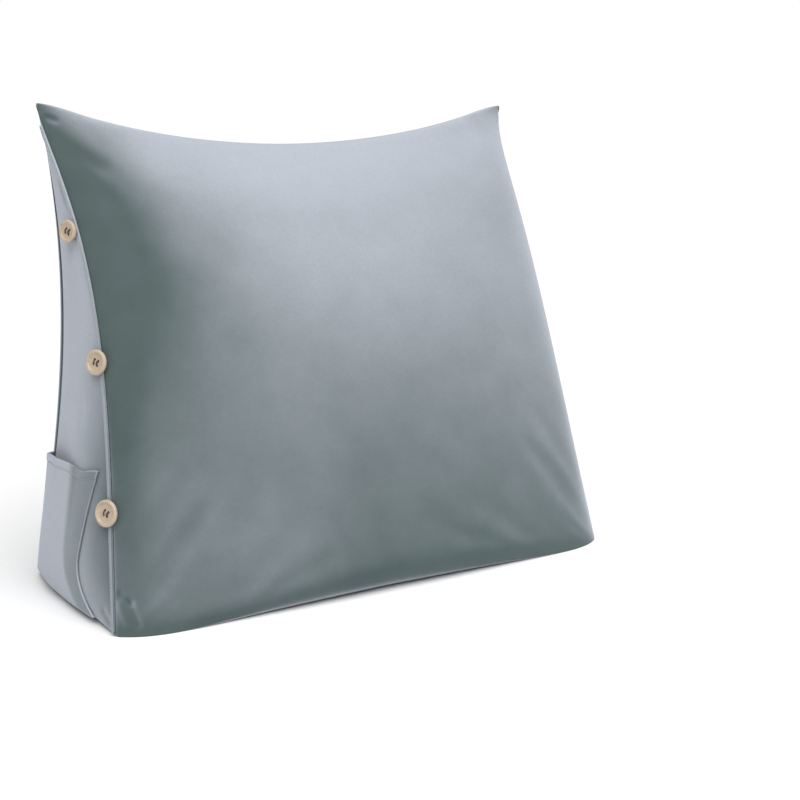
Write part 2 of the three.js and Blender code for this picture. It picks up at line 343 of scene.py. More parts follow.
def pocket_reach(level):
    """Distance of the pocket's front edge from the back seam, at a height."""
    below = level < POCKET["waist"]
    end = POCKET["foot"] if below else mouth_height(1)
    reach = POCKET["reach_foot"] if below else POCKET["reach_mouth"]
    away = (level - POCKET["waist"]) / (end - POCKET["waist"])
    return lerp(POCKET["reach_waist"], reach, away ** 2)


def pocket_gape(distance, share, rise):
    """How far the pocket's cloth stands off the side panel."""
    lift = 1 - math.exp(-(distance - POCKET["inset"]) / POCKET["gape_rise"])
    down = smooth((POCKET["gape_end"] - distance) / (POCKET["gape_end"] * POCKET["gape_fading"]))
    foot = math.sqrt(1 - clamp(1 - rise / POCKET["foot_rise"]) ** 2)
    return lerp(POCKET["gape_foot"], POCKET["gape_mouth"], share) * lift * down * foot


class Shade:
    """A material under construction."""

    def __init__(self, name):
        self.material = bpy.data.materials.new(name)
        self.material.use_nodes = True
        self.tree = self.material.node_tree
        self.tree.nodes.clear()

    def feed(self, target, value):
        if isinstance(value, Socket):
            self.tree.links.new(value.socket, target)
        else:
            target.default_value = value

    def node(self, kind, settings=None, sockets=None, out=0):
        """Adds a node: its settings first, then the values or links of its sockets."""
        made = self.tree.nodes.new(kind)
        for name, value in (settings or {}).items():
            setattr(made, name, value)
        for key, value in (sockets or {}).items():
            self.feed(made.inputs[key], value)
        return Socket(self, made.outputs[out]) if made.outputs else None

    def place(self):
        return self.node("ShaderNodeTexCoord", out="Object")

    def attribute(self, name):
        return self.node("ShaderNodeAttribute", {"attribute_name": name}, out="Fac")

    def vector(self, operation, *values):
        sockets = dict(enumerate(values))
        return self.node("ShaderNodeVectorMath", {"operation": operation}, sockets)

    def noise(self, vector, scale, detail=3.0, roughness=0.5):
        return self.node(
            "ShaderNodeTexNoise",
            {"noise_dimensions": "3D"},
            {"Vector": vector, "Scale": scale, "Detail": detail, "Roughness": roughness},
        )

    def mix(self, share, first, second):
        return self.node(
            "ShaderNodeMix", {"data_type": "RGBA"}, {0: share, 6: first, 7: second}, out=2
        )

    def bump(self, height, distance):
        sockets = {"Height": height, "Distance": distance, "Strength": 1.0}
        return self.node("ShaderNodeBump", sockets=sockets)

    def finish(self, **sockets):
        """Adds the Principled shader, with its sockets named in words, and the output."""
        named = {name.replace("_", " ").title(): value for name, value in sockets.items()}
        named = {name.replace("Ior", "IOR"): value for name, value in named.items()}
        surface = self.node("ShaderNodeBsdfPrincipled", sockets=named)
        self.node("ShaderNodeOutputMaterial", sockets={"Surface": surface})
        return self.material


class Socket:
    """An output socket, with the arithmetic of numbers."""

    def __init__(self, shade, socket):
        self.shade, self.socket = shade, socket

    def maths(self, operation, *values):
        sockets = dict(enumerate(values))
        return self.shade.node("ShaderNodeMath", {"operation": operation}, sockets)

    def __add__(self, other):
        return self.maths("ADD", self, other)

    def __mul__(self, other):
        return self.maths("MULTIPLY", self, other)

    def __sub__(self, other):
        return self.maths("SUBTRACT", self, other)

    def __rsub__(self, other):
        return self.maths("SUBTRACT", other, self)

    def ramp(self, low, high):
        """0 below low and 1 above high, with a smooth way between."""
        return self.shade.node(
            "ShaderNodeMapRange",
            {"interpolation_type": "SMOOTHSTEP"},
            {"Value": self, "From Min": low, "From Max": high},
        )


def colour(values, share=1.0):
    return tuple(value * share for value in values) + (1.0,)


def velvet(name, settings, seamed=False):
    """Short cut pile: dark where it is looked into, pale where it turns away; the paleness is
    painted sheen, with painted light from above and painted shade mixed into the same tone.
    """
    shade = Shade(name)
    place = shade.place()
    strokes = shade.noise(place, PILE_NOISE["strokes"], detail=2.0)
    clouds = shade.noise(place, PILE_NOISE["clouds"])
    tone = (strokes * 0.6 + clouds * 0.4).ramp(CLOUDS["low"], CLOUDS["high"])
    darker, paler = (colour(settings.pile, CLOUDS[way]) for way in ("darker", "paler"))
    body = shade.mix(tone, darker, paler)

    # Painted light: the nap and the comb bend the normal that sets the tone, so that the tone also
    # follows how the light falls, paler where the surface turns up
    upright = shade.node("ShaderNodeNewGeometry", out="Normal")
    combed_and_top_lit = shade.vector("MULTIPLY", upright, (1.0, 1.0, settings.comb))
    leaning_and_lit = shade.vector("ADD", combed_and_top_lit, tuple(settings.nap_and_light))
    facing = shade.node(
        "ShaderNodeLayerWeight",
        sockets={"Blend": 0.5, "Normal": shade.vector("NORMALIZE", leaning_and_lit)},
        out="Facing",
    )
    marks = shade.noise(place, PILE_NOISE["marks"], detail=4.0, roughness=0.62)
    # The attribute read here darkens the tone: partly smoothed pile, partly painted shade, and below
    # 0 painted light
    facing = facing - shade.attribute("pile_and_painted_shade") + (marks - 0.5) * settings.marks
    # Painted sheen: the pile's tone runs from its own colour to the pale one as the surface turns
    # away from the view
    turned = facing.ramp(settings.sheen_from, settings.sheen_to)
    body = shade.mix(turned, body, colour(settings.painted_sheen))

    fibres = shade.noise(place, PILE_NOISE["fibres"], detail=2.0, roughness=0.6)
    tufts = shade.noise(place, PILE_NOISE["tufts"])
    flecks = (fibres * 0.6 + tufts * 0.4).ramp(FLECKS["low"], FLECKS["high"])
    body = shade.mix(flecks * FLECKS["strength"], body, colour(settings.pile, FLECKS["tone"]))
    if seamed:
        shadow = 1 - shade.attribute("from_seam").ramp(SEAM_SHADOW["from"], 1.0)
        dark = colour(settings.pile, SEAM_SHADOW["tone"])
        body = shade.mix(shadow * SEAM_SHADOW["strength"], body, dark)
    return shade.finish(
        base_color=body,
        roughness=0.92,
        specular_ior_level=0.1,
        sheen_weight=settings.sheen,
        sheen_roughness=settings.sheen_spread,
        sheen_tint=colour(settings.sheen_colour),
        normal=shade.bump(fibres * 0.5 + tufts * 0.5, settings.pile_depth),
    )


def thread(name, tint):
    """Twisted sewing thread."""
    shade = Shade(name)
    strands = shade.noise(shade.place(), THREAD_TWIST["noise"], detail=2.0)
    twist = strands.ramp(THREAD_TWIST["low"], THREAD_TWIST["high"])
    return shade.finish(
        base_color=shade.mix(twist, colour(tint, 0.75), colour(tint, 1.2)),
        roughness=0.7,
        sheen_weight=0.3,
        normal=shade.bump(strands, THREAD_TWIST["depth"]),
    )


def turned_wood(name, settings, index):
    """Pale close-grained wood with a thin matt varnish."""
    shade = Shade(name)
    place = shade.place()
    turn = shade.node(
        "ShaderNodeMapping",
        {"vector_type": "POINT"},
        {"Vector": place, "Rotation": (0.4 + index, 0.25 * index, 0.6)},
    )
    along = shade.vector("MULTIPLY", turn, WOOD["stretch"])
    grain = shade.noise(along, 1.0, detail=4.0, roughness=0.6)
    mottle = shade.noise(place, WOOD["noise"], detail=4.0, roughness=0.65)
    streaks = grain.ramp(WOOD["streak_low"], WOOD["streak_high"]) * WOOD["streaks"]
    body = shade.mix(streaks, colour(settings.wood, 1.08), colour(settings.grain))
    patches = mottle.ramp(WOOD["mottle_low"], WOOD["mottle_high"]) * WOOD["mottle"]
    body = shade.mix(patches, body, colour(settings.grain, 0.85))
    return shade.finish(
        base_color=body,
        roughness=mottle * 0.2 + 0.38,
        coat_weight=0.25,
        coat_roughness=0.35,
        normal=shade.bump(grain * 0.6 + mottle * 0.4, WOOD["depth"]),
    )


def link(name, mesh):
    piece = bpy.data.objects.new(name, mesh)
    bpy.context.scene.collection.objects.link(piece)
    return piece


def to_piece(name, bm, material):
    mesh = bpy.data.meshes.new(name)
    bm.to_mesh(mesh)
    bm.free()
    mesh.shade_smooth()
    mesh.materials.append(material)
    return link(name, mesh)


def grid(bm, slices, stacks, point_at):
    """A sheet of faces whose points are placed by two shares from 0 to 1."""
    made = bmesh.ops.create_grid(
        bm, x_segments=slices, y_segments=stacks, size=0.5, calc_uvs=True
    )
    for vertex in made["verts"]:
        vertex.co = point_at(vertex.co.x + 0.5, vertex.co.y + 0.5)
    return made["verts"]


def evaluated(piece):
    """A piece as its modifiers make it."""
    return piece.evaluated_get(bpy.context.evaluated_depsgraph_get())


def applied(piece):
    """Replaces a piece's mesh by what its modifiers make of it."""
    mesh = bpy.data.meshes.new_from_object(evaluated(piece))
    old = piece.data
    piece.modifiers.clear()
    piece.data = mesh
    mesh.name = old.name
    bpy.data.meshes.remove(old)
    mesh.shade_smooth()


def positions(mesh):
    flat = np.empty(len(mesh.vertices) * 3)
    mesh.vertices.foreach_get("co", flat)
    return flat.reshape(-1, 3)


def normals(mesh):
    flat = np.empty(len(mesh.vertices) * 3, np.float32)
    mesh.vertex_normals.foreach_get("vector", flat)
    return flat.reshape(-1, 3).astype(float)


def set_positions(mesh, points):
    mesh.vertices.foreach_set("co", points.astype(np.float32).ravel())
    mesh.update()


def set_values(mesh, name, values):
    layer = mesh.attributes.new(name, "FLOAT", "POINT")
    layer.data.foreach_set("value", values.astype(np.float32))


def offsets(points, line):
    """Way to each point from the nearest point of a line that is given by close points."""
    tree = kdtree.KDTree(len(line))
    for index, point in enumerate(line):
        tree.insert(point, index)
    tree.balance()
    return points - np.array([tree.find(point)[0] for point in points])


def distances(points, line):
    return np.linalg.norm(offsets(points, line), axis=1)


def seam_line(kind):
    """Points along a kind of seam on both sides, under a millimetre apart."""
    steps = 700
    line = []
    for hand in (-1, 1):
        for step in range(steps + 1):
            if kind == "foot":
                line.append(side_panel(hand, step / steps, 0))
            else:
                line.append(seam_point(kind, hand, step / steps))
    return line


def foot_lift(points):
    """How far each point near a base seam of the sides rises off the floor."""
    lift = FOOT_LIFT
    behind = np.clip((points[:, 1] + DEPTH / 2) / (DEPTH * lift["from"]), 0, 1)
    away = distances(points, seam_line("foot"))
    corners = [seam_point("back", hand, 0) for hand in (-1, 1)]
    from_corner = distances(points, corners)
    rise = lift["along"] * behind * np.exp(-(away / lift["reach"]) ** 2)
    return rise + lift["corner"] * np.exp(-(from_corner / lift["corner_reach"]) ** 2)


def summed_pile_and_shade(rows, away, up):
    """Sums the rows of a table of smoothed pile and painted shade at distances from the seam and
    heights.
    """
    total = np.zeros(len(away))
    for row in rows:
        near = np.exp(-((away - row.at) / row.reach) ** 2)
        total += row.amount * near * np.exp(-((up - row.up) / row.up_reach) ** 2)
    return total


def on_side_panel(points, facing, hand):
    """Which points lie on a side panel, and how far each is from its front seam."""
    seam = [seam_point("front", hand, step / 800) for step in range(801)]
    way = offsets(points, seam)
    outward = hand * way[:, 0] > -way[:, 1]
    on_side = outward & (facing[:, 1] < FACING["side"]) & (points[:, 0] * hand > 0)
    return on_side, np.linalg.norm(way, axis=1)


def pile_and_shade_at(points, facing):
    """How far each point is darkened towards the front left seam, by smoothed pile and painted
    shade.
    """
    on_side, away = on_side_panel(points, facing, -1)
    on_right, _ = on_side_panel(points, facing, 1)
    up = points[:, 2] / HEIGHT
    on_front = (facing[:, 1] < FACING["front"]) & (points[:, 1] < FRONT_DEPTH) & ~on_right
    front = summed_pile_and_shade(FRONT_PILE_AND_SHADE, away, up)
    side = summed_pile_and_shade(SIDE_PILE_AND_SHADE, away, up)
    return np.where(on_side, side, np.where(on_front, front, 0.0))


def from_segment(points, start, end):
    """Distance of each point from a straight piece of line."""
    start, along = np.array(start), np.array(end - start)
    share = np.clip((points - start) @ along / (along @ along), 0, 1)
    return np.linalg.norm(points - start - share[:, None] * along, axis=1)


def creased(points, facing):
    """How far each point sinks into the creases."""
    on_side, _ = on_side_panel(points, facing, -1)
    depth = np.zeros(len(points))
    for crease in CREASES:
        if crease.panel == "front":
            ends = [wide_panel("front", *end) for end in (crease.start, crease.end)]
        else:
            ends = [side_panel(-1, *end) for end in (crease.start, crease.end)]
        there = on_side if crease.panel == "side" else ~on_side
        away = from_segment(points, *ends)
        depth += there * crease.depth * np.exp(-(away / crease.width) ** 2)
    return depth


def in_metres(name, default, description):
    return FloatProperty(name=name, description=description, default=default, unit="LENGTH")


def as_share(name, default, description):
    return FloatProperty(name=name, description=description, default=default, subtype="FACTOR")


def as_colour(name, default, description):
    return FloatVectorProperty(
        name=name, description=description, default=default, subtype="COLOR"
    )


class CushionSettings(bpy.types.PropertyGroup):
    across: IntProperty(name="Across", description="Faces from side to side", default=80)
    up: IntProperty(name="Up", description="Faces from floor to top fold", default=72)
    through: IntProperty(name="Through", description="Faces from front to back", default=40)
    pressure: FloatProperty(
        name="Pressure", description="Pressure of the filling", default=4.0
    )
    slack: in_metres("Slack", 0.004, "How much smaller the cover starts")
    cap: in_metres("Cap", 0.00045, "How deep the folds of the filled cover may get")
    crease_end: in_metres("Crease end", 0.004, "How close to a seam the creases fade out")
    fill: as_share("Fill", 0.9, "How tight it is filled")


class FinishSettings(bpy.types.PropertyGroup):
    pile: as_colour("Pile", (0.073, 0.101, 0.100), "Velvet looked into")
    # Painted sheen: the pale tone that the pile takes where the surface turns away from the view
    painted_sheen: as_colour("Turned pile", (0.424, 0.450, 0.503), "Velvet seen from its side")
    # Painted light: the nap and the comb also make the tone follow how the light falls, paler where
    # the surface turns up
    nap_and_light: FloatVectorProperty(
        name="Nap", description="How far the pile leans, in shares of its length",
        subtype="XYZ", default=(-0.461, 0.405, 0.6),
    )
    comb: as_share("Comb", 1.169, "How much the pile's tone follows an upward turn")
    marks: as_share("Marks", 0.10, "Strength of the marks that hands leave in the pile")
    sheen_from: FloatProperty(
        name="Sheen from", description="Turn of the surface where the pile gets paler",
        default=0.044,
    )
    sheen_to: FloatProperty(
        name="Sheen to", description="Turn where the pile is at its palest", default=0.66
    )
    sheen: as_share("Sheen", 0.25, "Strength of the sheen")
    sheen_spread: as_share("Sheen spread", 0.5, "Roughness of the sheen")
    sheen_colour: as_colour("Sheen colour", (0.82, 0.9, 1.0), "Tint of the sheen")
    pile_depth: in_metres("Pile depth", 0.0004, "Depth of the pile's relief")
    wood: as_colour("Wood", (0.46, 0.375, 0.275), "Wood of the buttons")
    grain: as_colour("Grain", (0.35, 0.265, 0.18), "Darker grain of the buttons")
    button_thread: as_colour("Button thread", (0.060, 0.022, 0.006), "Thread that holds the buttons")
    sewing_thread: as_colour("Sewing thread", (0.30, 0.36, 0.38), "Thread of the topstitching")


def held_in_place(points, from_seam):
    """Which points the filling leaves in place: on the seams, on the base and at the ears."""
    ears = np.array([seam_point("back", hand, 1.0) for hand in (-1, 1)])
    from_ear = np.min(np.linalg.norm(points[:, None] - ears[None], axis=2), axis=1)
    on_base = points[:, 2] < HELD["base"]
    return (from_seam < HELD["seam"]) | on_base | (from_ear < HELD["ear"])


def evened(mesh, values, rounds=40):
    """Values of the vertices, each averaged with its neighbours over and over."""
    ends = np.empty(len(mesh.edges) * 2, np.int32)
    mesh.edges.foreach_get("vertices", ends)
    first, second = ends.reshape(-1, 2).T
    count = np.bincount(ends, minlength=len(values))
    for _ in range(rounds):
        total = np.bincount(first, values[second], len(values))
        total += np.bincount(second, values[first], len(values))
        values = (values + total / count) / 2
    return values


def fill_out(piece, settings):
    """Lets the pressure of the filling push the cover out between its held seams."""
    mesh = piece.data
    form = positions(mesh)
    seam = distances(form, [point for kind in SEAM_GROOVES for point in seam_line(kind)])
    held = held_in_place(form, seam)
    free = np.where(held, 0.0, 1 - np.exp(-seam / FILLING["slack_reach"]))
    set_positions(mesh, form - normals(mesh) * (settings.slack * free)[:, None])

    group = piece.vertex_groups.new(name="held")
    group.add(np.flatnonzero(held).tolist(), 1.0, "REPLACE")
    cloth = piece.modifiers.new("filling", "CLOTH")
    for name, value in CLOTH.items():
        setattr(cloth.settings, name, value)
    cloth.settings.vertex_group_mass = "held"
    cloth.settings.use_pressure = True
    cloth.settings.uniform_pressure_force = settings.pressure
    cloth.settings.effector_weights.gravity = 0
    cloth.collision_settings.use_collision = False
    cloth.point_cache.frame_start = 1
    cloth.point_cache.frame_end = FILLING["steps"]
    for step in range(1, FILLING["steps"] + 1):
        bpy.context.scene.frame_set(step)
    filled = positions(evaluated(piece).data)
    piece.modifiers.clear()
    piece.vertex_groups.clear()
    bpy.context.scene.frame_set(1)

    set_positions(mesh, form)
    facing = normals(mesh)
    moved = np.einsum("ij,ij->i", filled - form, facing)
    folds = moved - evened(mesh, moved)
    folds = settings.cap * np.tanh(folds / settings.cap)
    under_sewn_on, _ = on_side_panel(form, facing, -1)
    folds = np.where(under_sewn_on, np.minimum(folds, 0.0), folds)
    room = 1 - np.exp(-(seam / FILLING["fold_reach"]) ** 2)
    folds = folds * room * ~held
    set_positions(mesh, form + facing * folds[:, None])


def build_cushion(settings, finish):
    bm = bmesh.new()
    grid(bm, settings.across, settings.up,
         lambda u, v: wide_panel("front", packed(u), packed(v)))
    grid(bm, settings.across, settings.up,
         lambda u, v: wide_panel("back", packed(1 - u), packed(v)))
    grid(bm, settings.through, settings.up,
         lambda u, v: side_panel(-1, packed(1 - u), packed(v)))
    grid(bm, settings.through, settings.up,
         lambda u, v: side_panel(1, packed(u), packed(v)))
    grid(bm, settings.across, settings.through,
         lambda u, v: base_point(packed(u), packed(v)))
    bmesh.ops.remove_doubles(bm, verts=bm.verts, dist=WELD["cushion"])
    bmesh.ops.recalc_face_normals(bm, faces=bm.faces)
    if bm.calc_volume(signed=True) < 0:
        bmesh.ops.reverse_faces(bm, faces=bm.faces)
    piece = to_piece("velvet_cushion", bm, velvet("cushion_velvet", finish, seamed=True))
    fill_out(piece, settings)
    finer = piece.modifiers.new("finer", "SUBSURF")
    finer.levels = finer.render_levels = 1
    applied(piece)

    mesh = piece.data
    points = positions(mesh)
    facing = normals(mesh)
    sunk = creased(points, facing)
    dark = np.full(len(points), np.inf)
    for kind, seam in SEAM_GROOVES.items():
        away = distances(points, seam_line(kind))
        dark = np.minimum(dark, away / seam["dark"])
        sunk *= 1 - np.exp(-(away / settings.crease_end) ** 2)
        sunk += seam["depth"] * np.exp(-(away / seam["width"]) ** 2)
    set_values(mesh, "from_seam", dark)
    set_values(mesh, "pile_and_painted_shade", pile_and_shade_at(points, facing))
    moved = points - facing * sunk[:, None]
    moved[:, 2] += foot_lift(points)
    set_positions(mesh, moved)
    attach(piece, BODY)
    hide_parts("cushion")
    return piece


class PILLOW_OT_cushion(bpy.types.Operator):
    """Sews and fills the wedge cushion"""

    bl_idname = "pillow.cushion"
    bl_label = "Cushion"

    def execute(self, context):
        build_cushion(context.scene.pillow_cushion, context.scene.pillow_finish)
        return {"FINISHED"}


class StripSettings(bpy.types.PropertyGroup):
    ridge: in_metres("Ridge", 0.0009, "Height of the two folded edges over the middle")
    stitch: in_metres("Stitch", 0.0030, "Length of a stitch")
    stitch_gap: in_metres("Stitch gap", 0.0008, "From stitch to stitch")
    thread: in_metres("Thread", 0.00032, "Radius of the sewing thread")


def strip_point(across, up, lift):
    behind = (1 - across) * STRIP["width"] / max(side_width(up), STRIP["width"] * 2)
    return side_panel(-1, behind, up) + side_normal(behind, up) * lift


STITCH_REACH = 1.06  # a stitch's own length over its step, so that its ends dip in


def one_stitch(bm, start, end, normal, radius):
    """A stitch as a slim bead that lies on the cloth from start to end."""
    along = end - start
    side = normal.cross(along).normalized()
    rows = Matrix((along.normalized(), side, normal)).transposed().to_4x4()
    size = Matrix.Diagonal((along.length / 2 * STITCH_REACH, radius, radius, 1))
    place = Matrix.Translation((start + end) / 2)
    bmesh.ops.create_uvsphere(
        bm, u_segments=6, v_segments=6, radius=1, matrix=place @ rows @ size
        @ Matrix.Rotation(math.pi / 2, 4, "Y"),
    )


def stitched(bm, point_at, length, settings):
    """Stitches along a line: point_at takes a share and gives a point and its normal."""
    step = settings.stitch + settings.stitch_gap
    count = int(length / step)
    for index in range(count):
        start, normal = point_at((index * step + settings.stitch_gap) / length)
        end, _ = point_at((index + 1) * step / length)
        one_stitch(bm, start, end, normal, settings.thread)


def build_placket(settings, finish):
    reach = STRIP["to"] - STRIP["from"]

    def level(share):
        return STRIP["from"] + reach * share

    def top(u, v):
        edge = abs(2 * u - 1)
        from_ridge = (edge - STRIP["ridge_at"]) / STRIP["ridge_width"]
        ridge = settings.ridge * math.exp(-from_ridge ** 2)
        round_off = (STRIP["thickness"] - settings.ridge) * math.sqrt(1 - edge ** 6)
        return strip_point(u, level(v), GAP + round_off + ridge * (1 - edge ** 8))

    def under(u, v):
        return strip_point(1 - u, level(v), GAP)

    bm = bmesh.new()
    for sheet in (top, under):
        grid(bm, STRIP["slices"], STRIP["stacks"],
             lambda u, v, sheet=sheet: sheet(packed(u, 0.6), v))
    bmesh.ops.remove_doubles(bm, verts=bm.verts, dist=WELD["strip"])
    open_edges = [edge for edge in bm.edges if edge.is_boundary]
    bmesh.ops.holes_fill(bm, edges=open_edges)
    bmesh.ops.recalc_face_normals(bm, faces=bm.faces)
    piece = to_piece("placket_band", bm, velvet("placket_velvet", finish))
    # Painted shade along the strip's middle, between its two folded edges
    middle = [strip_point(0.5, level(step / 600), 0) for step in range(601)]
    from_middle = distances(positions(piece.data), middle) / (STRIP["width"] / 2)
    near_middle = np.exp(-(from_middle / STRIP["shade_width"]) ** 4)
    set_values(piece.data, "pile_and_painted_shade", STRIP["pile_and_painted_shade"] * near_middle)
    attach(piece, BODY)
    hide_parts("placket_strip")

    length = (strip_point(0.5, STRIP["from"], 0) - strip_point(0.5, STRIP["to"], 0)).length
    bm = bmesh.new()
    for across in (0.3, 0.7):
        lift = GAP + STRIP["thickness"] - settings.ridge + settings.thread * 0.4

        def on_strip(share, across=across, lift=lift):
            up = level(min(share, 1))
            return strip_point(across, up, lift), side_normal(0.02, up)

        stitched(bm, on_strip, length, settings)
    rows = to_piece("placket_stitches", bm, thread("sewing_thread", finish.sewing_thread))
    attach(rows, BODY)


class PILLOW_OT_placket(bpy.types.Operator):
    """Lays the topstitched strip along the left front seam"""

    bl_idname = "pillow.placket"
    bl_label = "Placket strip"

    def execute(self, context):
        build_placket(context.scene.pillow_strip, context.scene.pillow_finish)
        return {"FINISHED"}


class PocketSettings(bpy.types.PropertyGroup):
    across: IntProperty(name="Across", description="Faces from back to front", default=72)
    up: IntProperty(name="Up", description="Faces from foot to mouth", default=72)
    flat_width: in_metres("Flat width", 0.191, "Width of the cut cloth at its foot")
    flat_length: in_metres("Flat length", 0.162, "Length of the cut cloth with the hem let down")
    flat_area: FloatProperty(
        name="Flat area", description="Area of the cut cloth, which narrows at its waist",
        default=0.0254, unit="AREA",
    )


def pocket_point(across, along, out):
    """A point of the pocket: across from back to front, along up, out through the cloth."""
    mouth = mouth_height(across)
    whole = mouth - POCKET["foot"]
    rise = along * whole
    distance = lerp(POCKET["inset"], pocket_reach(POCKET["foot"] + rise), across)
    up = (POCKET["foot"] + rise) / HEIGHT
    behind = 1 - distance / side_width(up)
    hem_start = whole - POCKET["hem_depth"]
    into_hem = smooth((rise - hem_start) / POCKET["hem_edge"])
    thickness = lerp(POCKET["thickness"], POCKET["hem_thickness"], into_hem)
    from_dip = (rise - hem_start - POCKET["hem_edge"]) / POCKET["hem_dip"]
    dip = POCKET["hem_dip"] * math.exp(-from_dip ** 2)
    lift = POCKET["gap"] + pocket_gape(distance, along, rise) + (thickness - dip) * out
    return side_panel(-1, behind, up) + side_normal(behind, up) * lift


def build_pocket(settings, strip, finish):
    def eased(share):
        return packed(share, 0.5)

    bm = bmesh.new()
    grid(bm, settings.across, settings.up,
         lambda u, v: pocket_point(eased(u), eased(v), 1))
    grid(bm, settings.across, settings.up,
         lambda u, v: pocket_point(eased(1 - u), eased(v), 0))
    shells = [edge for edge in bm.edges if edge.is_boundary]
    bm.verts.index_update()
    rim = sorted({vertex.index for edge in shells for vertex in edge.verts})
    bmesh.ops.bridge_loops(bm, edges=shells)
    bmesh.ops.recalc_face_normals(bm, faces=bm.faces)
    piece = to_piece("patch_pocket", bm, velvet("pocket_velvet", finish))
    points = positions(piece.data)
    level = points[:, 2] / mouth_height(0.5)
    back = np.array([seam_point("back", -1, point[2] / HEIGHT) for point in points])
    reach = np.array([pocket_reach(point[2]) for point in points])
    share = np.linalg.norm(points - back, axis=1) / reach
    # Painted shade past the crease line, and a darker tone near the foot
    crease = lerp(POCKET_CREASE["at_foot"], POCKET_CREASE["at_mouth"], level)
    turned = np.clip((share - crease) / POCKET_CREASE["width"], 0, 1)
    turned = turned * turned * (3 - 2 * turned)
    low = np.exp(-(level / POCKET_CREASE["foot_reach"]) ** 2)
    pile_and_painted_shade = turned * POCKET_CREASE["pile_and_painted_shade"]
    pile_and_painted_shade += (1 - turned) * low * POCKET_CREASE["foot_darkening"]
    # Painted highlight along the pocket's front rim
    front_rim = [index for index in rim if share[index] > POCKET_CREASE["rim_from"]]
    pile_and_painted_shade[front_rim] = -POCKET_CREASE["rim_highlight"]
    set_values(piece.data, "pile_and_painted_shade", pile_and_painted_shade)
    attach(piece, BODY)
    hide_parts("pocket")

    bm = bmesh.new()

    def on_hem(share):
        across = lerp(POCKET["stitches_from"], 1 - POCKET["stitches_from"], min(share, 1))
        whole = mouth_height(across) - POCKET["foot"]
        along = 1 - (POCKET["hem_depth"] - POCKET["hem_edge"]) / whole
        point = pocket_point(across, along, 1)
        up = point.z / HEIGHT
        behind = 1 - across * POCKET["reach_mouth"] / side_width(up)
        normal = side_normal(behind, up)
        return point + normal * strip.thread * 0.3, normal

    stitched(bm, on_hem, POCKET["reach_mouth"], strip)
    rows = to_piece("pocket_stitches", bm, thread("hem_thread", finish.sewing_thread))
    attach(rows, BODY)


class PILLOW_OT_pocket(bpy.types.Operator):
    """Sews the hemmed patch pocket onto the left side"""

    bl_idname = "pillow.pocket"
    bl_label = "Patch pocket"

    def execute(self, context):
        scene = context.scene
        build_pocket(scene.pillow_pocket, scene.pillow_strip, scene.pillow_finish)
        return {"FINISHED"}


class ButtonSettings(bpy.types.PropertyGroup):
    thickness: in_metres("Thickness", 0.0046, "Of a button")
    rim: in_metres("Rim", 0.0032, "Width of the raised rim")
    dish: in_metres("Dish", 0.0017, "Depth of the middle below the rim")
    hole: in_metres("Hole", 0.0013, "Radius of a hole")
    hole_spacing: in_metres("Hole spacing", 0.0025, "Of a hole from the axis, along both directions")
    thread: in_metres("Thread", 0.0005, "Radius of the thread")
    turn: FloatProperty(
        name="Turn", description="Of the four holes about the button's axis",
        default=math.radians(-16), subtype="ANGLE",
    )


def seat(node):
    """The middle of a button's underside and the way its face looks, from its CAD solid."""
    points = positions(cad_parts[node].data)
    points = np.unique(np.round(points, 6), axis=0)
    middle = points.mean(axis=0)
    _, _, axes = np.linalg.svd(points - middle)
    axis = axes[2] if axes[2][0] < 0 else -axes[2]
    rims = (points.min(axis=0) + points.max(axis=0)) / 2
    along = (points - rims) @ axis
    under = Vector(rims) + Vector(axis) * float(along.min())
    return under, Vector(axis)


def button_frame(node):
    """Turns a button's own axes, Z out of its face and Y up its face, to its place."""
    under, axis = seat(node)
    rise = (AXIS_UP - axis * AXIS_UP.dot(axis)).normalized()
    across = rise.cross(axis)
    turn = Matrix((across, rise, axis)).transposed().to_4x4()
    return Matrix.Translation(under) @ turn


def button_profile(settings, radius):
    """The section of a turned button from its axis under it round to its dished middle."""
    thick = settings.thickness
    inner = radius - settings.rim
    floor = thick - settings.dish
    flat = radius - BUTTON["edge"]
    section = [(0.0, 0.0), (flat, 0.0)]
    for step in range(1, 8):
        turn = math.pi * (step / 8 - 0.5)
        section.append((
            flat + BUTTON["edge"] * math.cos(turn),
            thick / 2 + (thick / 2) * math.sin(turn),
        ))
    section.append((flat, thick))
    section.append((inner + BUTTON["lip"], thick))
    for step in range(7):
        section.append((
            inner + BUTTON["slope_from"] - BUTTON["slope"] * step / 6,
            lerp(thick - BUTTON["slope_drop"], floor, smooth(step / 6)),
        ))
    section.append((inner * 0.5, floor - BUTTON["hollow"]))
    section.append((0.0, floor - BUTTON["hollow_middle"]))
    return section


def hole_places(settings):
    space = settings.hole_spacing
    return [(x * space, y * space) for x in (-1, 1) for y in (-1, 1)]


